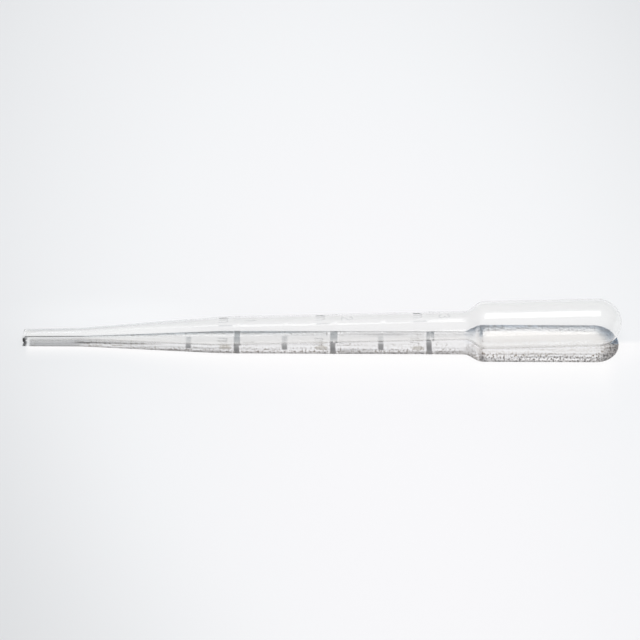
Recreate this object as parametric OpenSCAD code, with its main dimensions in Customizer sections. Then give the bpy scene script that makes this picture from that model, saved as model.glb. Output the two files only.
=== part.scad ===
// Graduated dropper pipette: one blow-moulded tube with a squeeze bulb, open at the tip.
// It is drawn upright about its own axis, with heights measured from the mouth of the tip,
// and then laid down as it comes to rest, on its bulb and on the narrow end of its stem.

/* [Tip] */
// Outer diameter of the straight tip
tip_d = 3.4; // [2.4:0.1:4.4]
// Height at which the tip turns into the cone
tip_length = 15; // [8:1:25]
// Wall of the tip
tip_wall = 0.45; // [0.3:0.05:0.7]
// Radius that blends the tip into the cone
tip_blend = 60; // [20:5:100]

/* [Cone] */
// Height of the cone between tip and stem
cone_length = 36.5; // [25:0.5:50]
// Radius that blends the cone into the stem
cone_blend = 100; // [40:10:200]

/* [Stem] */
// Outer diameter of the stem next to the cone
stem_d = 7.6; // [6.5:0.05:9]
// Outer diameter of the stem next to the bulb
stem_top_d = 7.6; // [6.5:0.05:9.5]
// Height of the stem between cone and shoulder
stem_length = 63.8; // [55:0.1:90]
// Wall of the stem
stem_wall = 0.24; // [0.2:0.01:0.5]

/* [Bulb] */
// Outer diameter of the bulb
bulb_d = 12.5; // [10.5:0.1:16]
// Height of the bulb over its round end, from the shoulder up
bulb_length = 36.4; // [20:0.1:60]
// Height of the shoulder between stem and bulb
shoulder_length = 3.3; // [2.5:0.1:6]
// Radius that blends the shoulder into the stem and into the bulb
shoulder_blend = 3; // [0.5:0.5:4]
// Wall of the bulb
bulb_wall = 0.22; // [0.18:0.01:0.5]

/* [Graduation] */
// Volume from each mark to the next, in millilitres
mark_volume = 0.5; // [0.25:0.05:1]
// Most marks on the scale
mark_count = 6; // [1:1:12]
// Width of a raised mark along the stem
mark_width = 1.1; // [0.5:0.1:1.5]
// Height of a raised mark above the stem
mark_height = 0.06; // [0.04:0.01:0.3]
// Arc of the short marks, in degrees; every second mark is a full ring
short_mark_arc = 80; // [30:2:180]
// How far the scale is turned back from facing straight up, in degrees
scale_turn = 2; // [-90:1:90]

/* [Hidden] */

$fn = 96;
// Largest turn between two neighbouring points of a blend, and the fewest steps in one
blend_turn = 6;
blend_steps = 4;
mm3_per_ml = 1000;
// Growth in radius per height under which a stretch counts as straight
straight = 1e-6;

cone_end = tip_length + cone_length;
stem_end = cone_end + stem_length;
shoulder_end = stem_end + shoulder_length;
total_length = shoulder_end + bulb_length;

// Corners of the outside, from the mouth of the tip up to the top of the bulb:
// height, radius and the radius that rounds the corner
corners = [
    [0, tip_d / 2, 0],
    [tip_length, tip_d / 2, tip_blend],
    [cone_end, stem_d / 2, cone_blend],
    [stem_end, stem_top_d / 2, shoulder_blend],
    [shoulder_end, bulb_d / 2, shoulder_blend],
    [total_length, bulb_d / 2, bulb_d / 2],
    [total_length, 0, 0]
];

// The wall thins as the tube was blown wider
wall_by_height = [
    [tip_length, tip_wall],
    [cone_end, stem_wall],
    [stem_end, stem_wall],
    [shoulder_end, bulb_wall]
];

function heading(a, b) = atan2(b[1] - a[1], b[0] - a[0]);

// The arc that rounds corner b on the way from a to c, as stations of height, radius and heading
function blend(a, b, c) =
    let (
        first = heading(a, b),
        turn = heading(b, c) - first,
        side = sign(turn),
        setback = b[2] * tan(abs(turn) / 2),
        centre = [
            b[0] - setback * cos(first) - side * b[2] * sin(first),
            b[1] - setback * sin(first) + side * b[2] * cos(first)
        ],
        steps = max(blend_steps, ceil(abs(turn) / blend_turn))
    )
    [for (i = [0:steps])
        let (t = first + turn * i / steps)
        [centre[0] + side * b[2] * sin(t), centre[1] - side * b[2] * cos(t), t]];

// The outside of the tube as stations from the mouth to the top of the bulb
outside = concat(
    [[0, tip_d / 2, 0]],
    [for (i = [1:len(corners) - 2]) each blend(corners[i - 1], corners[i], corners[i + 1])]
);

// The bore: each station moved in by the wall, square to the surface
bore = [for (s = outside)
    let (wall = lookup(s[0], wall_by_height))
    [s[0] + wall * sin(s[2]), s[1] - wall * cos(s[2])]];

// Volume of the bore between two of its points, and the height that a volume fills above the first
function cone_volume(a, b) = PI / 3 * (b[0] - a[0]) * (a[1] * a[1] + a[1] * b[1] + b[1] * b[1]);
function cone_level(volume, a, b) =
    let (growth = (b[1] - a[1]) / (b[0] - a[0]))
    abs(growth) < straight
        ? a[0] + volume / (PI * a[1] * a[1])
        : a[0] + (pow(pow(a[1], 3) + 3 * growth * volume / PI, 1 / 3) - a[1]) / growth;

// Height at which the pipette holds a volume, counted from point i of the bore
function level(volume, i = 0) =
    i > len(bore) - 2 ? total_length :
    let (held = cone_volume(bore[i], bore[i + 1]))
    volume > held ? level(volume - held, i + 1) : cone_level(volume, bore[i], bore[i + 1]);

function radius_at(height) = lookup(height, [for (s = outside) [s[0], s[1]]]);
function heading_at(height) = lookup(height, [for (s = outside) [s[0], s[2]]]);
function is_full(number) = number % 2 == 0;

// The scale is evenly divided: its first mark is where the bore holds the first volume,
// and the others follow by the length of straight bore that holds one more
stem_bore_r = (stem_d + stem_top_d) / 4 - stem_wall;
first_mark = level(mark_volume * mm3_per_ml);
mark_step = mark_volume * mm3_per_ml / (PI * stem_bore_r * stem_bore_r);

// Marks that fit on the stem, as their number and height
marks = [for (i = [1:mark_count])
    let (height = first_mark + (i - 1) * mark_step)
    if (height < stem_end - mark_width) [i, height]];

// What can touch the surface below: the outside of the tube and the crests of the full rings
touching = concat(
    [for (s = outside) [s[0], s[1]]],
    [for (m = marks) if (is_full(m[0])) [m[1], radius_at(m[1]) + mark_height]]
);
lean = atan(min([for (a = touching) if (a[0] < stem_end)
    max([for (b = touching) if (b[0] > stem_end) (b[1] - a[1]) / (b[0] - a[0])])]));
rest_height = max([for (p = touching) p[1] * cos(lean) - p[0] * sin(lean)]);
near_end = min([for (p = touching) p[0] * cos(lean) - p[1] * sin(lean)]);
far_end = max([for (p = touching) p[0] * cos(lean) + p[1] * sin(lean)]);

// The wall of the tube, as the half section that is turned about the axis
module wall_section() {
    top = len(bore) - 1;
    polygon(concat(
        [for (s = outside) [s[1], s[0]]],
        [for (i = [top:-1:0]) [bore[i][1], bore[i][0]]]
    ));
}

// A raised mark with a rounded crest, rooted halfway into the wall
module mark(height, arc) {
    crest_r = (mark_width * mark_width / 4 + mark_height * mark_height) / (2 * mark_height);
    root = lookup(height, wall_by_height) / 2;
    rotate([0, 0, -arc / 2])
        rotate_extrude(angle = arc)
            translate([radius_at(height), height])
                rotate(-heading_at(height))
                    intersection() {
                        translate([mark_height - crest_r, 0]) circle(r = crest_r);
                        translate([-root, -mark_width / 2]) square([root + mark_height, mark_width]);
                    }
}

module pipette() {
    color([0.92, 0.94, 0.95, 0.6])
        translate([-(near_end + far_end) / 2, 0, rest_height])
            rotate([0, 90 - lean, 0]) {
                rotate_extrude() wall_section();
                // The side away from the surface below is at 180 degrees here
                rotate([0, 0, 180 - scale_turn])
                    for (m = marks) mark(m[1], is_full(m[0]) ? 360 : short_mark_arc);
            }
}

pipette();
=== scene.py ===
"""A graduated dropper pipette, blow-moulded in clear plastic, resting on a pale studio floor."""

import math

import bmesh
import bpy
import numpy as np
from mathutils import Matrix, Vector


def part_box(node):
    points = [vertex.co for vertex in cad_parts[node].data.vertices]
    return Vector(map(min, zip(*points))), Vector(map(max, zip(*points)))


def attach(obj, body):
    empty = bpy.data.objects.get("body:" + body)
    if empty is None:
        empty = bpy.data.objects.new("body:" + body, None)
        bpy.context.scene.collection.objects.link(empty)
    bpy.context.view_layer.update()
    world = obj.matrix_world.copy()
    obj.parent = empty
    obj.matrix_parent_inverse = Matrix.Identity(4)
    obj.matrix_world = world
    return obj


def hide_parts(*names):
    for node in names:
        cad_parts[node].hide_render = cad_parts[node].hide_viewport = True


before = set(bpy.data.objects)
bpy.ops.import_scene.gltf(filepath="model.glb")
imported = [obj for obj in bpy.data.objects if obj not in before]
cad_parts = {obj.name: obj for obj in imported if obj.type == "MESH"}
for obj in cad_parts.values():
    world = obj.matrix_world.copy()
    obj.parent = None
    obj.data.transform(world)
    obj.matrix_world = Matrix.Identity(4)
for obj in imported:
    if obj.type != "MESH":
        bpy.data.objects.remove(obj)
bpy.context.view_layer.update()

MM = 0.001
rad = math.radians

# Sizes of the tube in millimetres, as in the CAD source
TIP_D, TIP_LENGTH, TIP_WALL, TIP_BLEND = 3.4, 15.0, 0.45, 60.0
CONE_LENGTH, CONE_BLEND = 36.5, 100.0
STEM_D, STEM_TOP_D, STEM_LENGTH, STEM_WALL = 7.6, 7.6, 63.8, 0.24
BULB_D, BULB_LENGTH, BULB_WALL = 12.5, 36.4, 0.22
SHOULDER_LENGTH, SHOULDER_BLEND = 3.3, 3.0
MARK_STEP_MM3, MARK_COUNT = 500.0, 6
MARK_WIDTH, MARK_HEIGHT, SHORT_MARK_ARC = 1.1, 0.06, 80.0
SCALE_TURN = 2.0
# Radius of the rounded edges of the mouth
RIM_EDGE = 0.08
# The cut at the mouth runs out this far at its low front, and the slant dies out over this length, in mm
CUT_SLANT, CUT_REACH, CUT_WAY = 0.50, 3.0, -95.0

CONE_END = TIP_LENGTH + CONE_LENGTH
STEM_END = CONE_END + STEM_LENGTH
SHOULDER_END = STEM_END + SHOULDER_LENGTH
TOTAL_LENGTH = SHOULDER_END + BULB_LENGTH
DOME_START = TOTAL_LENGTH - BULB_D / 2


# ---------------------------------------------------------------- curves
def curve(x, points):
    """The value at x of a curve through points, given as a list of places and a list of values."""
    return np.interp(x, *points)


def mix(a, b, share):
    return a + (b - a) * share


# Powers of a hill that is flat on top, and of one that has steep sides as well
FLAT, STEEP = 4, 8


def hill(x, width, power=2):
    """1 at 0, falling away on both sides over a width; a higher power makes it flatter on top and steeper."""
    return np.exp(-np.abs(x / width) ** power)


def bump(x):
    """A soft crest: 1 at 0, 0 from 1 on."""
    return np.where(np.abs(x) < 1, 0.5 + 0.5 * np.cos(np.pi * np.clip(x, -1, 1)), 0.0)


def crest(x):
    """A rounded crest over the width of a mark, as in the CAD source."""
    return np.clip(1 - np.square(x), 0.0, 1.0)


# ---------------------------------------------------------------- the profile
# Corners of the outside from the mouth to the top of the bulb: height, radius and the radius that rounds it
CORNERS = [
    (0.0, TIP_D / 2, 0.0),
    (TIP_LENGTH, TIP_D / 2, TIP_BLEND),
    (CONE_END, STEM_D / 2, CONE_BLEND),
    (STEM_END, STEM_TOP_D / 2, SHOULDER_BLEND),
    (SHOULDER_END, BULB_D / 2, SHOULDER_BLEND),
    (TOTAL_LENGTH, BULB_D / 2, BULB_D / 2),
    (TOTAL_LENGTH, 0.0, 0.0),
]
# Wall by height, and the shortest length that counts as a stretch
WALLS = ([TIP_LENGTH, CONE_END, STEM_END, SHOULDER_END], [TIP_WALL, STEM_WALL, STEM_WALL, BULB_WALL])
SHORTEST = 1e-6


def heading(a, b):
    return math.atan2(b[1] - a[1], b[0] - a[0])


def stretches():
    """The outline from the mouth of the tip to the top of the bulb, as straight and round stretches."""
    found, here = [], (0.0, TIP_D / 2)
    for a, b, c in zip(CORNERS, CORNERS[1:], CORNERS[2:]):
        first = heading(a, b)
        turn = heading(b, c) - first
        side = math.copysign(1.0, turn)
        setback = b[2] * math.tan(abs(turn) / 2)
        cx = b[0] - setback * math.cos(first) - side * b[2] * math.sin(first)
        cy = b[1] - setback * math.sin(first) + side * b[2] * math.cos(first)
        start = (cx + side * b[2] * math.sin(first), cy - side * b[2] * math.cos(first))
        length = math.dist(here, start)
        if length > SHORTEST:
            found.append(("line", length, here, first))
        found.append(("arc", b[2] * abs(turn), (cx, cy, b[2], side), (first, turn)))
        last = first + turn
        here = (cx + side * b[2] * math.sin(last), cy - side * b[2] * math.cos(last))
    return found


STRETCHES = stretches()
OUTLINE_LENGTH = sum(s[1] for s in STRETCHES)


def station(s):
    """Height, radius and heading of the outline after a length s of it."""
    for kind, length, place, way in STRETCHES:
        if s <= length or (kind, length) == STRETCHES[-1][:2]:
            if kind == "line":
                return place[0] + s * math.cos(way), place[1] + s * math.sin(way), way
            t = way[0] + way[1] * min(1.0, s / length)
            cx, cy, radius, side = place
            return cx + side * radius * math.sin(t), cy - side * radius * math.cos(t), t
        s -= length


# The outline at many places: length along it, height, radius and heading
TABLE_ROWS = 4001
TABLE = np.array([(s, *station(s)) for s in np.linspace(0, OUTLINE_LENGTH, TABLE_ROWS)])


def radius_at(h):
    return float(np.interp(h, TABLE[:, 1], TABLE[:, 2]))


def mark_heights():
    """Number and height of each mark: the bore holds the first volume there, and one more in each step."""
    walls = curve(TABLE[:, 1], WALLS)
    bore_h = TABLE[:, 1] + walls * np.sin(TABLE[:, 3])
    bore_r = TABLE[:, 2] - walls * np.cos(TABLE[:, 3])
    low_r, high_r = bore_r[:-1], bore_r[1:]
    slices = np.pi / 3 * np.diff(bore_h) * (low_r ** 2 + low_r * high_r + high_r ** 2)
    held = np.concatenate([[0], np.cumsum(slices)])
    first = float(np.interp(MARK_STEP_MM3, held, bore_h))
    step = MARK_STEP_MM3 / (math.pi * ((STEM_D + STEM_TOP_D) / 4 - STEM_WALL) ** 2)
    found = [(i, first + (i - 1) * step) for i in range(1, MARK_COUNT + 1)]
    return [(i, h) for i, h in found if h < STEM_END - MARK_WIDTH]


MARKS = mark_heights()


def is_full(number):
    """Every second mark is a full ring, and the others are short arcs."""
    return number % 2 == 0


# ---------------------------------------------------------------- how it rests
# It rests on its bulb and on the narrow end of its stem, rings included
full_rings = [(h, radius_at(h) + MARK_HEIGHT) for i, h in MARKS if is_full(i)]
touching = np.array([(h, r) for _, h, r, _ in TABLE] + full_rings)
bulb_points = touching[touching[:, 0] > STEM_END]
stem_points = touching[touching[:, 0] < STEM_END]
slopes = [np.max((bulb_points[:, 1] - r) / (bulb_points[:, 0] - h)) for h, r in stem_points]
LEAN = math.atan(min(slopes))
REST_HEIGHT = float(np.max(touching[:, 1] * math.cos(LEAN) - touching[:, 0] * math.sin(LEAN)))
NEAR_END = float(np.min(touching[:, 0] * math.cos(LEAN) - touching[:, 1] * math.sin(LEAN)))
FAR_END = float(np.max(touching[:, 0] * math.cos(LEAN) + touching[:, 1] * math.sin(LEAN)))
MIDDLE = (NEAR_END + FAR_END) / 2


def to_world(h, up, back):
    """Metres in the shared frame for heights h along the axis and offsets up and back from it, all in mm."""
    x = -MIDDLE + h * math.cos(LEAN) - up * math.sin(LEAN)
    z = REST_HEIGHT + h * math.sin(LEAN) + up * math.cos(LEAN)
    return np.stack([x, back, z], axis=-1) * MM


# ---------------------------------------------------------------- relief
# Width and strokes of each character in a box one unit high: x runs along the line, y upwards
GLYPHS = {
    "1": (0.34, [[(0.02, 0.78), (0.22, 1.0), (0.22, 0.0)]]),
    "2": (0.62, [[(0.03, 0.76), (0.06, 0.88), (0.16, 0.97), (0.31, 1.0), (0.46, 0.97), (0.56, 0.88),
                  (0.59, 0.76), (0.55, 0.62), (0.44, 0.48), (0.20, 0.22), (0.03, 0.0), (0.62, 0.0)]]),
    "3": (0.60, [[(0.03, 0.82), (0.10, 0.93), (0.20, 0.99), (0.31, 1.0), (0.44, 0.97), (0.53, 0.89),
                  (0.56, 0.77), (0.53, 0.65), (0.44, 0.57), (0.28, 0.54)],
                 [(0.28, 0.54), (0.46, 0.50), (0.56, 0.41), (0.60, 0.28), (0.56, 0.14), (0.46, 0.04),
                  (0.30, 0.0), (0.17, 0.02), (0.07, 0.09), (0.01, 0.20)]]),
    "m": (0.78, [[(0.0, 0.0), (0.0, 0.66)],
                 [(0.0, 0.50), (0.08, 0.61), (0.20, 0.66), (0.33, 0.62), (0.39, 0.50), (0.39, 0.0)],
                 [(0.39, 0.50), (0.47, 0.61), (0.59, 0.66), (0.72, 0.62), (0.78, 0.50), (0.78, 0.0)]]),
    "l": (0.0, [[(0.0, 0.0), (0.0, 1.0)]]),
}
# Height along the stem, width scale and foot from the ring, of the digit above it and of the "ml" below it;
# both read with the bulb up
DIGIT, UNIT = (2.75, 2.0, 1.9), (3.2, 2.4, -4.7)
# Space between letters, in units of a box; half width and height of a stroke, in mm
LETTER_GAP = 0.42
GLYPH_STROKE, GLYPH_HEIGHT = 0.30, 0.08


def word_strokes(letters, ring, tall, wide, foot):
    """Strokes of a word as segments in mm: along the stem, and round it from the scale's middle."""
    left = wide / 2 * (sum(GLYPHS[c][0] for c in letters) + LETTER_GAP * (len(letters) - 1))
    found = []
    for c in letters:
        for line in GLYPHS[c][1]:
            placed = [(ring + foot + y * tall, left - x * wide) for x, y in line]
            found.extend(zip(placed, placed[1:]))
        left -= (GLYPHS[c][0] + LETTER_GAP) * wide
    return found


STROKES = []
for number, height in MARKS:
    if is_full(number):
        STROKES.extend(word_strokes(str(number // 2), height, *DIGIT))
        STROKES.extend(word_strokes("ml", height, *UNIT))


def lettering_share(h, v):
    """How much of the lettering's full height stands at height h and places v round the stem, in mm."""
    found = np.zeros_like(v)
    for (x0, y0), (x1, y1) in STROKES:
        if not min(x0, x1) - 1 < h < max(x0, x1) + 1:
            continue
        dx, dy = x1 - x0, y1 - y0
        t = np.clip(((h - x0) * dx + (v - y0) * dy) / (dx * dx + dy * dy), 0, 1)
        found = np.maximum(found, bump(np.hypot(h - x0 - t * dx, v - y0 - t * dy) / GLYPH_STROKE))
    return found


def relief(h, a, r):
    """How far the surface stands proud in mm, at height h, radius r and angles a from the scale's middle."""
    raised = lettering_share(h, a * r) * GLYPH_HEIGHT
    for i, mark in MARKS:
        proud = crest((h - mark) / (MARK_WIDTH / 2)) * MARK_HEIGHT * np.ones_like(a)
        if not is_full(i):
            over = (np.abs(a) - rad(SHORT_MARK_ARC) / 2) * r / (MARK_WIDTH / 2) + 1
            proud = proud * bump(np.clip(over, 0, 1))
        raised = np.maximum(raised, proud)
    return raised


# ---------------------------------------------------------------- the plastic's tint and painted shade
# How much the plastic dims what is seen through it, by height: most in the wall of the stem
BODY_DIM = ([CONE_END - 20, CONE_END - 8, STEM_END, SHOULDER_END], [0.0, 0.07, 0.07, 0.0])
# Painted shade along the top of tip and cone, standing in for the dark edge their thick wall shows: how much,
# by degrees and by height
TOP_SIDE = ([-8, 12, 60, 75], [0.0, 1.0, 1.0, 0.0])
TOP_DIM = ([0.6, 1.2, 20.0, 36.0, CONE_END], [0.0, 0.36, 0.30, 0.18, 0.0])
# Where the rim of the mouth is painted dark, as shade, by degrees round its low front, and up to which height
MOUTH_SIDE = ([52, 64, 140, 150], [0.0, 1.0, 1.0, 0.0])
MOUTH_TOP = 0.68


def mouth_dark(h, a):
    """How dark the low front of the mouth's rim is painted, as shade, at height h and angles a from the
    scale's middle.
    """
    return curve(-np.degrees(a), MOUTH_SIDE) * hill(h, MOUTH_TOP, STEEP)


def dim_and_painted_shade(h, a, r):
    """How much the plastic is dimmed at height h, radius r and angles a: a slight tint, and painted shade on
    lettering, mouth and the top of tip and cone; a full stroke of the lettering gives 0.5.
    """
    top = curve(np.degrees(a), TOP_SIDE) * curve(h, TOP_DIM)
    return (curve(h, BODY_DIM) + lettering_share(h, a * r)) / 2 + np.maximum(mouth_dark(h, a), top)


# ---------------------------------------------------------------- what the lamps get through the plastic
# How far the shadow moves to the left and towards the camera, per height
KEY_SHIFT = (0.052, 0.132)
KEY_BACK = math.atan(KEY_SHIFT[1])
# How far a height belongs to the thick tip, the pale upper stem, the bulb and the round end of the bulb
THICK_ZONE = ([13.2, 15.5, 26.0], [1.0, 0.35, 0.0])
PALE_ZONE = ([68.0, 84.0, STEM_END, STEM_END + 2.0], [0.0, 1.0, 1.0, 0.0])
BULB_ZONE = ([STEM_END + 1.0, SHOULDER_END + 1.0], [0.0, 1.0])
DOME_ZONE = ([DOME_START, DOME_START + 2.5], [0.0, 1.0])
# Share of the light that passes, in front of the axis or behind it, by how far out it crosses the tube
FRONT = ([0.0, 0.25, 0.32, 0.42, 0.48, 0.60, 0.72, 0.82, 0.91, 1.0],
         [0.96, 0.96, 1.0, 1.0, 0.87, 0.76, 0.66, 0.48, 0.22, 0.08])
BULB_FRONT = ([0.0, 0.35, 0.48, 0.60, 0.70, 0.82, 0.91, 1.0], [1.0, 0.99, 0.92, 0.82, 0.72, 0.56, 0.34, 0.16])
THICK_FRONT = ([0.0, 0.4, 0.6, 0.8, 0.92, 1.0], [0.56, 0.54, 0.52, 0.42, 0.20, 0.0])
BACK = ([0.0, 0.45, 0.62, 0.74, 0.84, 0.92, 1.0], [0.96, 0.95, 0.88, 0.66, 0.34, 0.14, 0.08])
THICK_BACK = ([0.0, 0.15, 0.26, 0.36, 0.66, 0.74, 1.0], [0.56, 0.62, 0.88, 1.0, 1.0, 0.0, 0.0])
PALE_BACK = ([0.0, 0.30, 0.48, 0.60, 0.68, 0.72, 0.76, 0.80, 0.86, 0.90, 0.94, 1.0],
             [0.97, 0.95, 0.90, 0.86, 0.74, 0.54, 0.56, 0.88, 1.0, 0.60, 0.26, 0.12])
BULB_BACK = ([0.0, 0.50, 0.58, 0.62, 0.66, 0.71, 0.77, 0.82, 0.88, 0.94, 1.0],
             [1.0, 1.0, 1.0, 0.93, 0.74, 0.64, 0.62, 0.58, 0.38, 0.14, 0.0])
DOME_SHARE = ([0.0, 0.35, 0.50, 0.62, 0.74, 0.86, 1.0], [0.96, 0.91, 0.70, 0.48, 0.31, 0.15, 0.05])


def through_walls(q, thick, pale, bulb, dome):
    """Share of the light that passes; q is how far behind the axis it crosses the tube, from -1 to 1."""
    front = mix(mix(curve(-q, FRONT), curve(-q, BULB_FRONT), bulb), curve(-q, THICK_FRONT), thick)
    back = mix(curve(q, BACK), curve(q, THICK_BACK), thick)
    back = mix(mix(back, curve(q, PALE_BACK), pale), curve(q, BULB_BACK), bulb)
    return mix(np.where(q < 0, front, back), curve(np.abs(q), DOME_SHARE), dome)


# The thick wall of the cone throws a dark line under the middle of the tube: its depth, width and place
LINE_DEPTH = ([12.8, 14.4, 27.0, 30.0, 34.0, 38.0, 68.0, 80.0, STEM_END - 14, STEM_END - 10],
              [0.0, 0.90, 0.92, 0.84, 0.4, 0.0, 0.0, 0.15, 0.15, 0.0])
LINE_WIDTH = ([14.0, 20.0, 28.0, 36.0], [0.22, 0.15, 0.10, 0.07])
LINE_PLACE = ([14.0, 20.0, 28.0, 36.0, 70.0], [-0.23, -0.25, -0.30, -0.28, -0.18])


def middle_line(h, q):
    """What the dark line leaves of the light."""
    return 1 - curve(h, LINE_DEPTH) * hill(q - curve(h, LINE_PLACE), curve(h, LINE_WIDTH))


# Where the near edge of the tube's outline lies over the shadow, from the first to the last full ring
NEAR_EDGE = ([MARKS[1][1], MARKS[-1][1]], [-0.155, 0.13])
# Darkness of the bar under a full and a short mark, by how far behind that edge it lies, and the share by
# which the last ring's bar is darker than the first one's
FULL_BAR = ([-0.85, -0.65, -0.50, -0.30, -0.08, 0.04, 0.25, 0.45, 0.90],
            [0.72, 0.80, 0.84, 0.76, 0.68, 0.49, 0.53, 0.66, 0.68])
SHORT_BAR = ([-0.42, -0.20, -0.10, 0.03, 0.40, 0.52, 0.72, 0.85],
             [0.80, 0.74, 0.40, 0.30, 0.32, 0.50, 0.52, 0.30])
LAST_BAR = ([0.0, 0.05, 0.55, 0.80], [0.05, -0.30, -0.25, 0.25])
# Half width of a bar, how soft its edge is, and how much a later ring's bar is wider towards the bulb where
# it is seen through the tube
BAR_HALF, BAR_SOFT, BAR_WIDER = 0.70, 0.15, 0.35
# How far a bar is seen through the tube, by how far behind the edge it lies, and which rings are later ones
SEEN_THROUGH, LATER_RING = ([0.0, 0.1], [0.0, 1.0]), ([2, 4], [0.0, 1.0])
# Bright flanks of a bar: strength, distance from the bar, width, and how they fade towards the tube's edge
FLANK, FLANK_AWAY, FLANK_WIDTH = 0.85, 0.32, 0.25
FLANK_FADE = ([0.75, 1.0], [1.0, 0.15])
# The bar of a short mark ends this far before the mark does, in mm, and fades over so much
SHORT_GAP, SHORT_FADE = 0.05, 0.6
# The lettering below a ring leaves an oval spot: how far below, its place, half length and half width,
# darkness and edge, and its bright outline's strength, place and width
OVAL_BELOW, OVAL_PLACE, OVAL_LONG, OVAL_WIDE = 2.9, -0.47, 1.75, 0.22
OVAL_DARK, OVAL_END, OVAL_EDGE = 0.36, 1.05, 0.25
OUTLINE, OUTLINE_PLACE, OUTLINE_WIDTH = 0.85, 1.22, 0.14
# How dark the shadows of the lettering's strokes are, and how they fade across the tube
LETTER_DARK = 0.45
LETTER_FADE = ([-0.35, -0.05, 0.75, 0.9], [0.3, 1.0, 1.0, 0.0])


def bar_cover(i, a, r):
    """How far the bar of mark i reaches round the tube, at angles a."""
    if is_full(i):
        return np.ones_like(a)
    left = (rad(SHORT_MARK_ARC) / 2 - np.abs(a)) * r - SHORT_GAP
    return np.clip(left / SHORT_FADE, 0, 1)


def bar_dark(i, behind):
    """How dark the bar of mark i is: darkest where it isn't seen through the tube."""
    if not is_full(i):
        return curve(behind, SHORT_BAR)
    late = np.interp(i, [2, MARK_COUNT], [0.0, 1.0])
    return curve(behind, FULL_BAR) * (1 + late * curve(behind, LAST_BAR))


def bar_away(i, above, behind):
    """Distance in mm from the bar of mark i, for a height above the mark."""
    wider = BAR_WIDER * is_full(i) * curve(i, LATER_RING) * curve(behind, SEEN_THROUGH)
    return np.abs(above - wider / 2) - wider / 2


def at_marks(h, a, r, q, behind, share):
    """The share of light with the marks' bright flanks, and what their bars and the ovals leave of it."""
    bars, ovals = np.ones_like(q), np.ones_like(q)
    for i, mark in MARKS:
        if is_full(i):
            oval = np.hypot((h - mark + OVAL_BELOW) / OVAL_LONG, (q - OVAL_PLACE) / OVAL_WIDE)
            ovals = ovals * (1 - OVAL_DARK * np.clip((OVAL_END - oval) / OVAL_EDGE, 0, 1))
            share = mix(share, 1, OUTLINE * hill(oval - OUTLINE_PLACE, OUTLINE_WIDTH))
        away = bar_away(i, h - mark, behind)
        cover = bar_cover(i, a, r)
        flank = FLANK * hill(away - BAR_HALF - FLANK_AWAY, FLANK_WIDTH)
        share = mix(share, 1, flank * cover * curve(np.abs(q), FLANK_FADE))
        dark = np.interp(away, [BAR_HALF - BAR_SOFT, BAR_HALF + BAR_SOFT], [1.0, 0.0])
        bars = bars * (1 - dark * cover * bar_dark(i, behind))
    strokes = LETTER_DARK * lettering_share(h, a * r) * curve(q, LETTER_FADE)
    return share * (1 - strokes), bars, ovals


# The corner between shoulder and bulb: a bright line below it and the dark line of the corner, each with its
# place above the shoulder's end and its width, in mm, and how it fades across the tube
SHOULDER_BRIGHT, SHOULDER_DARK = (-0.1, 0.35), (0.95, 0.7)
SHOULDER_FLANK = ([0.8, 1.0], [0.5, 0.15])
SHOULDER_LINE = ([-1.0, -0.88, -0.72, -0.60, -0.40, 0.0, 0.30, 0.42, 0.85, 1.0],
                 [0.60, 0.93, 0.88, 0.60, 0.35, 0.25, 0.35, 0.80, 0.92, 0.92])
# The rim of the mouth is dark up to a height, with a bright line above it, both dying out behind
RIM_SIDE = ([0.40, 0.60], [1.0, 0.0])
RIM_DARK, RIM_TOP = 0.99, 0.74
RIM_BRIGHT_AT, RIM_BRIGHT_WIDTH = 1.18, 0.38


def at_ends(h, q, share):
    """The share of light with the lines at the shoulder and at the mouth."""
    place, width = SHOULDER_BRIGHT
    share = mix(share, 1, hill(h - SHOULDER_END - place, width) * curve(np.abs(q), SHOULDER_FLANK))
    place, width = SHOULDER_DARK
    share = share * (1 - hill(h - SHOULDER_END - place, width) * curve(q, SHOULDER_LINE))
    low = curve(q, RIM_SIDE)
    share = share * (1 - RIM_DARK * low * hill(h, RIM_TOP, STEEP))
    return mix(share, 1, low * hill(h - RIM_BRIGHT_AT, RIM_BRIGHT_WIDTH, FLAT))


# The loss in red, green and blue: over the near half, over the far half of the stem, over that of the bulb,
# and in the ovals
WARM, TEAL = np.array([0.95, 1.0, 1.04]), np.array([1.05, 1.0, 0.97])
COOL, OVAL_LOSS = np.array([1.06, 0.99, 0.91]), np.array([0.93, 1.0, 1.13])
# A loss over the middle of the wide parts: strength, reach, and its colours in stem and bulb
MELLOW, MELLOW_REACH = 0.04, np.array([0.4, 0.6])
STEM_MELLOW, BULB_MELLOW = np.array([0.80, 1.0, 1.25]), np.array([0.1, 1.0, 1.9])
# In the bulb that loss reaches further out, and it is weaker by a share, and by the same again in front
BULB_REACH, BULB_WEAKER = 0.2, 0.2
IN_FRONT = ([0.0, 0.1], [1.0, 0.0])
# The warm tint of the near half turns to the far one over a stretch, and in the dome further behind
FAR_TINT, DOME_LATER = ([-0.3, 0.3], [0.0, 1.0]), 0.4
# The share of the tint that the thick tip loses, and what the darkest front keeps of it
THICK_PLAIN, DARK_TINT = 0.8, 0.3


def mellow(q, thick, bulb):
    """The loss over the middle of the wide parts, in red, green and blue."""
    depth = MELLOW * (1 - thick) * (1 - BULB_WEAKER * bulb)
    depth = depth * np.interp(np.abs(q), MELLOW_REACH + BULB_REACH * bulb, [1.0, 0.0])
    depth = depth * (1 - BULB_WEAKER * bulb * curve(q, IN_FRONT))
    return depth[:, None] * mix(STEM_MELLOW, BULB_MELLOW, bulb)


def coloured(h, q, share, thick, pale, bulb, dome):
    """Red, green and blue let through where a share of the light passes."""
    far = mix(TEAL, 1.0, pale) if h < STEM_END else COOL
    tint = mix(WARM, far, curve(q - DOME_LATER * dome, FAR_TINT)[:, None])
    tint = mix(tint, 1.0, THICK_PLAIN * thick)
    tint = mix(1.0, tint, np.where(q < 0, mix(DARK_TINT, 1.0, share), 1.0)[:, None])
    return (1 - (1 - share)[:, None] * tint) * (1 - mellow(q, thick, bulb))


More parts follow.
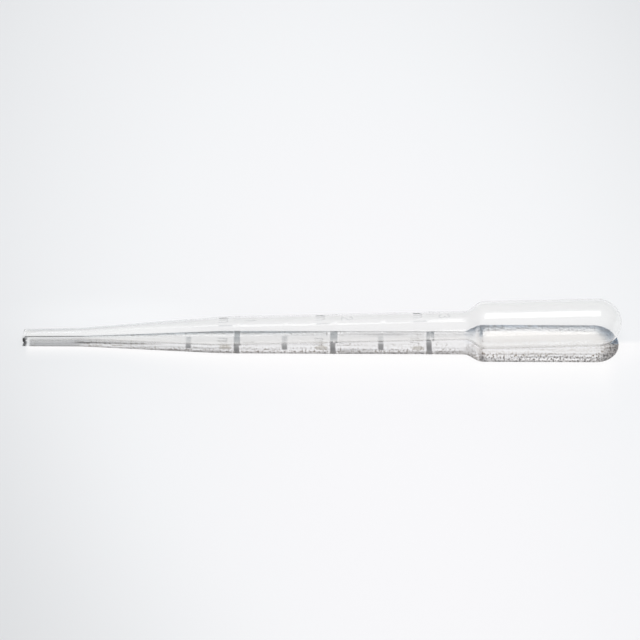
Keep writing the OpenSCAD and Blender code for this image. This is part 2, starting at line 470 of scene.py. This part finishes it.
# The grain is strong in front of a line, by height, and weak behind it, and it grows with the darkness
GRAIN_LINE = ([38.0, 50.0, 70.0, STEM_END, SHOULDER_END], [-0.55, -0.30, -0.25, -0.10, 0.10])
GRAIN_LINE_WIDTH = 0.10
GRAIN_STRONG, GRAIN_WEAK = 2.0, 0.6
GRAIN_NEAR_EDGE, GRAIN_FAR_EDGE = ([-0.95, -0.86], [0.4, GRAIN_STRONG]), ([0.45, 0.60], [GRAIN_WEAK, 1.3])
# Least and most grain in the stem, each with what the bulb has more; the share of the least that is behind
GRAIN_LEAST, GRAIN_MOST = (0.11, 0.05), (0.30, 0.12)
GRAIN_BEHIND = 0.1
# What the shoulder, the thick tip and the dome leave of it, and powers by which bars and ovals take it away
GRAIN_SHOULDER = ([STEM_END - 2, STEM_END - 1, SHOULDER_END + 1, SHOULDER_END + 2], [1.0, 0.5, 0.5, 1.0])
GRAIN_THICK, GRAIN_DOME = 0.25, 0.5
BAR_POWER, OVAL_POWER = 4, 1.5


def grain(h, q, share, bars, ovals, thick, bulb, dome):
    """How grainy the shadow is."""
    line = curve(h, GRAIN_LINE)
    near, far = GRAIN_NEAR_EDGE, GRAIN_FAR_EDGE
    places = [*near[0], line, line + GRAIN_LINE_WIDTH, *far[0]]
    most = np.interp(q, places, [*near[1], GRAIN_STRONG, GRAIN_WEAK, *far[1]])
    least = mix(GRAIN_LEAST[0], sum(GRAIN_LEAST), bulb)
    least = least * np.interp(q, [line, line + GRAIN_LINE_WIDTH], [1.0, GRAIN_BEHIND])
    found = np.clip(most * (1 - share * bars * ovals), least, mix(GRAIN_MOST[0], sum(GRAIN_MOST), bulb))
    found = found * mix(1, GRAIN_THICK, thick) * mix(1, GRAIN_DOME, dome) * curve(h, GRAIN_SHOULDER)
    return found * bars ** BAR_POWER * ovals ** OVAL_POWER


# What surfaces away from the lamp let through: all light, without grain
ALL_LIGHT = np.array([1.0, 1.0, 1.0, 0.0])


def passing(h, a, r, t):
    """Share of red, green and blue lamp light let through, and how grainy it is, for the outer surface.

    h is the height, a the angles from the scale's middle, r the radius and t the outline's heading there.
    """
    side = a + rad(SCALE_TURN) - KEY_BACK
    facing = math.cos(t) * np.cos(side)
    q = np.sqrt(np.clip(1 - facing ** 2, 0, 1)) * np.sign(side)
    behind = q - curve(h, NEAR_EDGE)
    thick, pale, bulb, dome = [curve(h, zone) for zone in (THICK_ZONE, PALE_ZONE, BULB_ZONE, DOME_ZONE)]
    share = through_walls(q, thick, pale, bulb, dome) * middle_line(h, q)
    share, bars, ovals = at_marks(h, a, r, q, behind, share)
    share = at_ends(h, q, share)
    colour = coloured(h, q, share, thick, pale, bulb, dome)
    colour = colour * (1 - (1 - bars)[:, None] * np.where((behind > 0)[:, None], TEAL, 1.0))
    colour = colour * (1 - (1 - ovals)[:, None] * OVAL_LOSS)
    rough = grain(h, q, share, bars, ovals, thick, bulb, dome)[:, None]
    return np.where((np.cos(side) > 0)[:, None], np.hstack([np.clip(colour, 0, 1), rough]), ALL_LIGHT)


# ---------------------------------------------------------------- the shell
# Steps between rings of points of the outside, in mm: near the rim, in the stem, at the shoulder, in the bulb
# and in its round end, and at a short mark and over a ring with its lettering
RIM_STEP, STEM_STEP, SHOULDER_STEP, BULB_STEP, DOME_STEP = 0.12, 0.9, 0.16, 0.8, 0.26
ARC_STEP, LETTER_STEP = 0.10, 0.095
# The same for the bore, the shortest steps and the least radius of a ring
BORE_STEP, BORE_SHOULDER_STEP, BORE_BULB_STEP, BORE_DOME_STEP = 1.0, 0.2, 0.9, 0.32
LEAST_STEP, LEAST_LAST_STEP, LEAST_RADIUS = 0.05, 0.08, 0.01
# How far the fine steps reach: above the rim, round a short mark, round the lettering and round the shoulder
RIM_REACH, ARC_REACH, LETTER_REACH, SHOULDER_REACH, BORE_SHOULDER_REACH = 1.6, 0.9, 0.4, 1.5, 2.0
# Turns of the rim's rounded edges, in degrees
RIM_TURNS = (0, 22.5, 45, 67.5, 90)
# Steps round the tube in degrees, each up to an angle from the scale's middle
ROUND_STEPS = [(28, 1.45), (44, 2.8), (180, 4.4)]


def fine_stretches():
    """Lowest and highest height, and the step, of each stretch of stem with marks or lettering."""
    for i, h in MARKS:
        if is_full(i):
            yield h + UNIT[2] - LETTER_REACH, h + DIGIT[2] + DIGIT[0] + LETTER_REACH, LETTER_STEP
        else:
            yield h - ARC_REACH, h + ARC_REACH, ARC_STEP


def outside_step(h):
    """Step to the next ring of points of the outside from height h."""
    if h > DOME_START:
        return DOME_STEP
    if h > STEM_END - SHOULDER_REACH:
        return SHOULDER_STEP if h < SHOULDER_END + SHOULDER_REACH else BULB_STEP
    step = STEM_STEP if h > RIM_REACH else RIM_STEP
    for low, high, fine_step in fine_stretches():
        if low <= h < high:
            step = fine_step
        elif h < low < h + step:
            step = max(LEAST_STEP, low - h)
    return step


def bore_step(h):
    """Step to the next ring of points of the bore from height h."""
    if h > DOME_START:
        return BORE_DOME_STEP
    if h >= STEM_END - BORE_SHOULDER_REACH:
        return BORE_SHOULDER_STEP if h < SHOULDER_END + SHOULDER_REACH else BORE_BULB_STEP
    return BORE_STEP


def ring_lengths():
    """Lengths along the outline at which the outside gets a ring of points, above the rim."""
    found = [0.0]
    while found[-1] < OUTLINE_LENGTH:
        found.append(min(OUTLINE_LENGTH, found[-1] + outside_step(station(found[-1])[0])))
    if found[-1] - found[-2] < LEAST_LAST_STEP:
        found.pop(-2)
    return [RIM_EDGE] + [s for s in found[1:-1] if s > 2 * RIM_EDGE]


def bore_lengths():
    """Lengths along the outline at which the bore gets a ring of points, above the rim."""
    found = [BORE_STEP]
    while found[-1] < OUTLINE_LENGTH:
        found.append(found[-1] + bore_step(station(found[-1])[0]))
    return found[:-1]


def round_angles():
    """Angles round the axis, from the middle of the scale, closest together across the scale."""
    half = [0.0]
    while half[-1] < 180:
        half.append(half[-1] + next((step for end, step in ROUND_STEPS if half[-1] < end)))
    half = np.array(half) * 180 / half[-1]
    return np.radians(np.concatenate([-half[1:-1][::-1], half]))


ANGLES = round_angles()
TURNED = ANGLES + rad(SCALE_TURN)
ROUND = len(ANGLES)


def ring(h, r):
    """Points round the tube at heights h and radii r, with the slanted cut at the mouth."""
    slant = CUT_SLANT * (0.5 + 0.5 * np.cos(TURNED - rad(CUT_WAY))) ** 2
    h = h - slant * np.clip(1 - h / CUT_REACH, 0, 1)
    return to_world(h, r * np.cos(TURNED), r * np.sin(TURNED))


def rim_rings():
    """Each ring of the rounded rim of the mouth, from the bore out: points, dimming with painted shade, and
    light let through.
    """
    bore_r, middle_r = TIP_D / 2 - TIP_WALL, (TIP_D - TIP_WALL) / 2
    turns = [rad(x) for x in RIM_TURNS]
    profile = [(RIM_EDGE * (1 - math.cos(x)), bore_r + RIM_EDGE * (1 - math.sin(x))) for x in turns[::-1]]
    profile += [(0.0, middle_r)]
    profile += [(RIM_EDGE * (1 - math.cos(x)), TIP_D / 2 - RIM_EDGE * (1 - math.sin(x))) for x in turns[:-1]]
    for h, r in profile:
        dim = mouth_dark(h, ANGLES) if r > middle_r else np.zeros(ROUND)
        yield ring(np.full(ROUND, h), r), dim, passing(h, ANGLES, r, 0.0)


def outside_rings():
    """The same for the outside with its relief, from the rim up to the top of the bulb."""
    for s in ring_lengths():
        h, r, t = station(s)
        raised = relief(h, ANGLES, r)
        points = ring(h - raised * math.sin(t), r + raised * math.cos(t))
        yield points, dim_and_painted_shade(h, ANGLES, r), passing(h, ANGLES, r, t)


def bore_rings():
    """The same for the bore, moved in from the outside by the wall."""
    for s in bore_lengths():
        h, r, t = station(s)
        wall = curve(h, WALLS)
        points = ring(np.full(ROUND, h + wall * math.sin(t)), max(r - wall * math.cos(t), LEAST_RADIUS))
        yield points, np.full(ROUND, curve(h, BODY_DIM) / 2), np.tile(ALL_LIGHT, (ROUND, 1))


def top(h):
    """The same for the point on the axis that closes the outside or the bore at height h."""
    return to_world(np.array([h]), np.zeros(1), np.zeros(1)), np.zeros(1), ALL_LIGHT[None]


def skin_faces(starts, pole):
    """Faces between the rings of points that start at these numbers, and from the last one to the pole."""
    found = []
    for a, b in zip(starts, starts[1:]):
        found += [(a + j, b + j, b + (j + 1) % ROUND, a + (j + 1) % ROUND) for j in range(ROUND)]
    last = starts[-1]
    return found + [(pole, last + (j + 1) % ROUND, last + j) for j in range(ROUND)]


def shell():
    """The tube as one closed skin: the rim of the mouth, the outside and the bore."""
    outer = [*rim_rings(), *outside_rings()]
    inner = [*bore_rings()]
    rows = [*outer, top(TOTAL_LENGTH), *inner, top(TOTAL_LENGTH - BULB_WALL)]
    verts, dims, lights = [np.concatenate(column) for column in zip(*rows)]
    outer_starts = [i * ROUND for i in range(len(outer))]
    pole = len(outer) * ROUND
    # the bore's skin starts at the first ring of the rim
    inner_starts = [0] + [pole + 1 + i * ROUND for i in range(len(inner))]
    faces = [face[::-1] for face in skin_faces(outer_starts, pole)]
    faces += skin_faces(inner_starts, len(verts) - 1)

    mesh = bpy.data.meshes.new("pipette_shell")
    mesh.from_pydata(verts.tolist(), [], faces)
    mesh.validate()
    bm = bmesh.new()
    bm.from_mesh(mesh)
    bmesh.ops.recalc_face_normals(bm, faces=bm.faces[:])
    bm.to_mesh(mesh)
    bm.free()
    mesh.polygons.foreach_set("use_smooth", [True] * len(mesh.polygons))
    # the attribute raised holds the plastic's tint and painted shade
    mesh.attributes.new("raised", "FLOAT", "POINT").data.foreach_set("value", dims)
    mesh.attributes.new("passing", "FLOAT_COLOR", "POINT").data.foreach_set("color", lights.ravel())
    mesh.update()
    return mesh


piece = bpy.data.objects.new("pipette_shell", shell())
bpy.context.collection.objects.link(piece)


# ---------------------------------------------------------------- materials
class Nodes:
    """The node tree of a material or world, with a short call for each kind of node."""

    def __init__(self, owner):
        owner.use_nodes = True
        self.tree = owner.node_tree
        self.tree.nodes.clear()

    def add(self, kind, inputs=None, **settings):
        """A new node with settings, and with its inputs set to values or linked to outputs of other nodes."""
        made = self.tree.nodes.new("ShaderNode" + kind)
        for name, value in settings.items():
            setattr(made, name, value)
        for place, value in (inputs or {}).items():
            if isinstance(value, bpy.types.NodeSocket):
                self.tree.links.new(value, made.inputs[place])
            else:
                made.inputs[place].default_value = value
        return made

    def place(self):
        return self.add("TexCoord").outputs["Object"]

    def noise(self, place, scale, detail):
        return self.add("TexNoise", {"Vector": place, "Scale": scale, "Detail": detail}).outputs["Fac"]

    def calc(self, operation, *values):
        return self.add("Math", dict(enumerate(values)), operation=operation).outputs["Value"]

    def vector(self, operation, *values):
        return self.add("VectorMath", dict(enumerate(values)), operation=operation).outputs["Vector"]

    def dot(self, a, b):
        return self.add("VectorMath", {0: a, 1: b}, operation="DOT_PRODUCT").outputs["Value"]

    def scaled(self, vector, by):
        return self.add("VectorMath", {0: vector, "Scale": by}, operation="SCALE").outputs["Vector"]

    def between(self, value, start, end, first=0.0, last=1.0, how="LINEAR"):
        """From first to last as a value goes from start to end, and the same beyond them."""
        inputs = {"Value": value, "From Min": start, "From Max": end, "To Min": first, "To Max": last}
        return self.add("MapRange", inputs, interpolation_type=how).outputs["Result"]

    def ramp(self, value, stops, how="LINEAR"):
        """Colours or levels of grey by a value from 0 to 1; stops pair values with colours or levels."""
        made = self.add("ValToRGB", {"Fac": value})
        made.color_ramp.interpolation = how
        points = made.color_ramp.elements
        points.remove(points[-1])
        shades = [(at, shade if isinstance(shade, tuple) else (shade,) * 3) for at, shade in stops]
        for at, shade in shades[1:]:
            points.new(at).color = (*shade, 1)
        points[0].position = shades[0][0]
        points[0].color = (*shades[0][1], 1)
        return made.outputs["Color"]

    def by_ray(self, shader, *others):
        """A shader that gives way to others for some rays: pairs of a Light Path output and a shader."""
        path = self.add("LightPath")
        for ray, other in others:
            shader = self.add("MixShader", {0: path.outputs[ray], 1: shader, 2: other}).outputs["Shader"]
        return shader


# Colour of the plastic by the attribute raised: bare, painted shade under a full stroke of the lettering, and
# black painted shade at the low front of the mouth
BARE, LETTERING_SHADE, BLACK = (0.985, 0.984, 0.978), (0.72, 0.73, 0.74), (0.0, 0.0, 0.0)
PLASTIC_IOR = 1.5
# The uneven skin of the moulded plastic: its noise, bump and roughness
SKIN_SCALE, SKIN_DETAIL = 900, 3
SKIN_BUMP, SKIN_DEPTH = 0.05, 0.0001
SMOOTHEST, ROUGHEST = 0.03, 0.08
# Specks in the shadow, per metre along and across it. Noise from one level to another swings the light from
# one amount to another, down and up
SPECKS_ALONG, SPECKS_ACROSS, SPECKS_DETAIL = 2200, 1500, 2
SPECK_LEVELS, SPECK_SWING = (0.38, 0.52), (1.6, -0.6)
SPECK_COLOUR = (-0.96, -1.0, -1.05)
# Streaks in the shadow: how the specks' coordinates are stretched, and their levels and swing
STREAK_STRETCH, STREAK_DETAIL = (0.02, 1.1, 1), 1
STREAK_LEVELS, STREAK_SWING = (0.40, 0.60), (-0.9, 0.9)


def glass(n, place):
    """Clear plastic with a fine uneven skin, as it is seen."""
    skin = n.noise(place, SKIN_SCALE, SKIN_DETAIL)
    uneven = n.add("Bump", {"Strength": SKIN_BUMP, "Distance": SKIN_DEPTH, "Height": skin})
    # the attribute raised holds a tint and painted shade: darker lettering, the top of tip and cone, and the
    # mouth
    raised = n.add("Attribute", attribute_name="raised").outputs["Fac"]
    return n.add("BsdfPrincipled", {
        "Base Color": n.ramp(raised, [(0.0, BARE), (0.5, LETTERING_SHADE), (1.0, BLACK)]),
        "Transmission Weight": 1.0,
        "IOR": PLASTIC_IOR,
        "Roughness": n.between(skin, 0.0, 1.0, SMOOTHEST, ROUGHEST),
        "Normal": uneven.outputs["Normal"],
    }).outputs["BSDF"]


def lamp_light(n, place):
    """The lamps' light that passes: the attribute passing, with specks and streaks by its grain."""
    passed = n.add("Attribute", attribute_name="passing")
    # the specks lie as the lamp throws them on the floor
    along = n.dot(place, (SPECKS_ALONG, 0, -KEY_SHIFT[0] * SPECKS_ALONG))
    across = n.dot(place, (0, SPECKS_ACROSS, -KEY_SHIFT[1] * SPECKS_ACROSS))
    thrown = n.add("CombineXYZ", {"X": along, "Y": across}).outputs["Vector"]
    specks = n.between(n.noise(thrown, 1, SPECKS_DETAIL), *SPECK_LEVELS, *SPECK_SWING)
    specks = n.calc("MULTIPLY", specks, passed.outputs["Alpha"])
    light = n.vector("MULTIPLY_ADD", specks, SPECK_COLOUR, passed.outputs["Color"])
    streaks = n.noise(n.vector("MULTIPLY", thrown, STREAK_STRETCH), 1, STREAK_DETAIL)
    streaks = n.between(streaks, *STREAK_LEVELS, *STREAK_SWING)
    light = n.scaled(light, n.calc("MULTIPLY_ADD", streaks, passed.outputs["Alpha"], 1.0))
    return n.vector("MINIMUM", n.vector("MAXIMUM", light, (0, 0, 0)), (1, 1, 1))


def clear_plastic():
    mat = bpy.data.materials.new("clear_plastic")
    n = Nodes(mat)
    place = n.place()
    clear = n.add("BsdfTransparent", {"Color": lamp_light(n, place)}).outputs["BSDF"]
    shader = n.by_ray(glass(n, place), ("Is Diffuse Ray", clear), ("Is Shadow Ray", clear))
    n.add("OutputMaterial", {"Surface": shader})
    return mat


piece.data.materials.append(clear_plastic())
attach(piece, "root")
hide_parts("pipette")


# ---------------------------------------------------------------- floor
FLOOR_HALF, FLOOR_ROUGHNESS = 3.0, 0.9
# The sheet's colour is painted with light falling off, palest near the middle and darker outwards in ovals:
# their middle, turn and half sizes in metres, and the tones outwards by the square of the distance
SHEET_MIDDLE, SHEET_TURN, SHEET_HALF = (0.023, -0.055, 0), rad(10), (0.19, 0.46, 1)
SHEET_TONES = [(0.0, (0.927, 0.923, 0.937)), (0.12, (0.883, 0.892, 0.905)), (0.45, (0.745, 0.757, 0.771)),
               (1.0, (0.90, 0.91, 0.92))]
# The near left corner has painted shade: the way to it, the stretch over which it darkens, and the tone
CORNER_WAY, CORNER_STRETCH, CORNER_TONE = (-0.85, -0.53, 0), (0.050, 0.125), 0.90
# The tip lies in a soft pool of light: its middle, half sizes, soft edge and tone
POOL_MIDDLE, POOL_HALF, POOL_EDGE, POOL_TONE = (-0.055, 0.006, 0), (0.036, 0.011, 1), (0.2, 1.1), 1.035
# Light gathered by the tube glows just in front of its shadow. Heights along the tube at which the glow is
# placed, the stretch of floor along X over which it lies, in mm, and the place along Y that is 1 in its ramp
GLOW_HEIGHTS = (0.0, TIP_LENGTH, (TIP_LENGTH + CONE_END) / 2, CONE_END, STEM_END, SHOULDER_END + 1.5,
                TOTAL_LENGTH - BULB_D / 3, TOTAL_LENGTH)
GLOW_FROM, GLOW_TO, GLOW_DEEP = -90.0, 90.0, -10.0
# Its reach in metres from tip to stem, its levels by distance in reaches, its ends along X and its colour
GLOW_WIDENS, GLOW_REACH = (0.2, 0.5), (0.0018, 0.0068)
GLOW_LEVELS = [(-0.2, 0.0), (0.0, 1.0), (0.3, 0.92), (0.7, 0.62), (1.2, 0.33), (1.9, 0.12), (2.8, 0.0)]
GLOW_ENDS = [(0.0, 0.0), (0.0695, 0.0), (0.076, 1.0), (0.93, 1.0), (1.0, 0.0)]
GLOW_COLOUR = (0.99, 0.982, 0.982, 1)


def shadow_edge(h):
    """Where the near edge of the shadow lies on the floor at height h of the tube, in mm."""
    centre = REST_HEIGHT + h * math.sin(LEAN)
    return (-MIDDLE + h * math.cos(LEAN) - KEY_SHIFT[0] * centre,
            -KEY_SHIFT[1] * centre - radius_at(h) * math.hypot(1, KEY_SHIFT[1]))


def sheet_colour(n, place):
    """The pale sheet, with painted light falling off outwards, painted shade at the near left corner and a
    painted pool of light at the tip.
    """
    sheet = {"Vector": place, "Location": SHEET_MIDDLE, "Rotation": (0, 0, SHEET_TURN), "Scale": SHEET_HALF}
    out = n.add("Mapping", sheet, vector_type="TEXTURE").outputs["Vector"]
    # painted light falloff: palest in the middle, darker outwards
    tone = n.ramp(n.dot(out, out), SHEET_TONES)
    # painted shade at the near left corner of the sheet
    corner_shade = n.between(n.dot(place, CORNER_WAY), *CORNER_STRETCH, 1.0, CORNER_TONE, "SMOOTHSTEP")
    pool = {"Vector": place, "Location": POOL_MIDDLE, "Scale": POOL_HALF}
    out = n.add("Mapping", pool, vector_type="TEXTURE").outputs["Vector"]
    away = n.add("VectorMath", {0: out}, operation="LENGTH").outputs["Value"]
    pooled = n.between(away, *POOL_EDGE, POOL_TONE, 1.0, "SMOOTHSTEP")
    return n.scaled(n.scaled(tone, corner_shade), pooled)


def glow_level(n, place):
    """How much the glow in front of the shadow covers the sheet."""
    apart = n.add("SeparateXYZ", {"Vector": place})
    along = n.between(apart.outputs["X"], GLOW_FROM * MM, GLOW_TO * MM)
    edges = [shadow_edge(h) for h in GLOW_HEIGHTS]
    edge = n.ramp(along, [((x - GLOW_FROM) / (GLOW_TO - GLOW_FROM), y / GLOW_DEEP) for x, y in edges])
    in_front = n.calc("MULTIPLY_ADD", edge, GLOW_DEEP * MM, n.calc("MULTIPLY", apart.outputs["Y"], -1.0))
    reaches = n.calc("DIVIDE", in_front, n.between(along, *GLOW_WIDENS, *GLOW_REACH))
    start, end = GLOW_LEVELS[0][0], GLOW_LEVELS[-1][0]
    levels = [((at - start) / (end - start), level) for at, level in GLOW_LEVELS]
    return n.calc("MULTIPLY", n.ramp(n.between(reaches, start, end), levels), n.ramp(along, GLOW_ENDS))


def floor_material():
    mat = bpy.data.materials.new("floor")
    n = Nodes(mat)
    place = n.place()
    # inputs 0, 6 and 7 of a colour mix are its factor and its two colours, and output 2 is the mix
    lit = n.add("Mix", {0: glow_level(n, place), 6: sheet_colour(n, place), 7: GLOW_COLOUR}, data_type="RGBA")
    matt = {"Base Color": lit.outputs[2], "Roughness": FLOOR_ROUGHNESS, "Specular IOR Level": 0.0}
    n.add("OutputMaterial", {"Surface": n.add("BsdfPrincipled", matt).outputs["BSDF"]})
    return mat


floor_mesh = bpy.data.meshes.new("floor")
corners = [(x * FLOOR_HALF, y * FLOOR_HALF, 0) for x, y in ((-1, -1), (1, -1), (1, 1), (-1, 1))]
floor_mesh.from_pydata(corners, [], [(0, 1, 2, 3)])
floor = bpy.data.objects.new("floor", floor_mesh)
bpy.context.collection.objects.link(floor)
floor_mesh.materials.append(floor_material())

# ---------------------------------------------------------------- camera
ELEVATION, ROLL = 49.0, -0.05
DISTANCE, SENSOR_WIDTH = 0.75, 36.0
# Width of what the camera sees at the pipette, and how far it aims above and to the left of its middle
VIEW_WIDTH, AIM_UP, AIM_LEFT = 166.14 * MM, 2.31 * MM, 0.60 * MM
NEAR_CLIP, FAR_CLIP = 0.01, 20

box_low, box_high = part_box("pipette")
middle = Vector(((box_low.x + box_high.x) / 2, 0.0, (REST_HEIGHT + MIDDLE * math.sin(LEAN)) * MM))
look = Vector((0.0, math.cos(rad(ELEVATION)), -math.sin(rad(ELEVATION))))
right = Vector((1.0, 0.0, 0.0))
up = right.cross(look)
cam_data = bpy.data.cameras.new("camera")
cam_data.sensor_width = SENSOR_WIDTH
cam_data.lens = SENSOR_WIDTH * DISTANCE / VIEW_WIDTH
cam_data.clip_start = NEAR_CLIP
cam_data.clip_end = FAR_CLIP
cam = bpy.data.objects.new("camera", cam_data)
bpy.context.collection.objects.link(cam)
turn = Matrix((right, up, -look)).transposed() @ Matrix.Rotation(rad(-ROLL), 3, "Z")
target = middle + up * AIM_UP - right * AIM_LEFT
cam.matrix_world = Matrix.Translation(target - look * DISTANCE) @ turn.to_4x4()
bpy.context.scene.camera = cam


# ---------------------------------------------------------------- lights
def area(name, place, size, power, turn=0.0, toward=(0, 0, 0)):
    """An area lamp of a width and depth at a place, facing a point, turned about its own axis by an angle."""
    data = bpy.data.lights.new(name, "AREA")
    data.energy = power
    data.shape = "RECTANGLE"
    data.size, data.size_y = size
    lamp = bpy.data.objects.new(name, data)
    bpy.context.collection.objects.link(lamp)
    way = (Vector(place) - Vector(toward)).normalized()
    x = Vector((math.cos(rad(turn)), math.sin(rad(turn)), 0))
    y = way.cross(x).normalized()
    x = y.cross(way)
    lamp.matrix_world = Matrix.Translation(place) @ Matrix((x, y, way)).transposed().to_4x4()
    return lamp


# The key lamp throws the shadow; the two panels overhead show as highlights in the plastic
KEY_DISTANCE, KEY_SIZE, KEY_POWER = 5.0, (0.06, 0.06), 194.0
PANEL_HEIGHT = 0.9
SOFTBOX_X, SOFTBOX_Y, SOFTBOX_SIZE, SOFTBOX_POWER = 0.128, 0.065, (0.245, 0.45), 0.75
STRIP_X, STRIP_Y, STRIP_SIZE, STRIP_POWER, STRIP_TURN = -0.11, 0.01, (0.42, 0.13), 0.30, 121.4

key_way = Vector((KEY_SHIFT[0], KEY_SHIFT[1], 1.0)).normalized()
key = area("key", key_way * KEY_DISTANCE, KEY_SIZE, KEY_POWER)
key.visible_glossy = False
key.visible_transmission = False
area("softbox", (SOFTBOX_X, SOFTBOX_Y, PANEL_HEIGHT), SOFTBOX_SIZE, SOFTBOX_POWER,
     toward=(SOFTBOX_X, SOFTBOX_Y, 0))
area("strip", (STRIP_X, STRIP_Y, PANEL_HEIGHT), STRIP_SIZE, STRIP_POWER, STRIP_TURN,
     toward=(STRIP_X, STRIP_Y, 0))

# ---------------------------------------------------------------- world
WORLD_LIGHT, WORLD_STRENGTH = (0.95, 0.97, 1.0, 1), 0.13
BACKDROP = (0.94, 0.95, 0.96, 1)
# What reflections and the plastic show: bright overhead and in front, darker low at the back. Levels by how
# far a direction points the bright way, from -1 to 1
BRIGHT_WAY = (0.0, -0.5, 0.866)
STUDIO_LEVELS = [(-1.0, 0.86), (-0.35, 0.86), (-0.05, 0.58), (0.35, 0.60), (0.60, 0.82), (0.90, 1.0)]


def studio():
    world = bpy.data.worlds.new("studio")
    n = Nodes(world)
    bright = n.dot(n.add("TexCoord").outputs["Generated"], BRIGHT_WAY)
    levels = [((at + 1) / 2, level) for at, level in STUDIO_LEVELS]
    level = n.ramp(n.between(bright, -1.0, 1.0), levels, "EASE")
    light = n.add("Background", {"Color": WORLD_LIGHT, "Strength": WORLD_STRENGTH}).outputs["Background"]
    backdrop = n.add("Background", {"Color": BACKDROP}).outputs["Background"]
    room = n.add("Background", {"Color": level}).outputs["Background"]
    shown = [("Is Camera Ray", backdrop), ("Is Glossy Ray", room), ("Is Transmission Ray", room)]
    shader = n.by_ray(light, *shown)
    n.add("OutputWorld", {"Surface": shader})
    return world


scene = bpy.context.scene
scene.world = studio()
scene.view_settings.view_transform = "Standard"
scene.cycles.max_bounces = 32
scene.cycles.transmission_bounces = 32
scene.cycles.glossy_bounces = 8
scene.cycles.transparent_max_bounces = 32
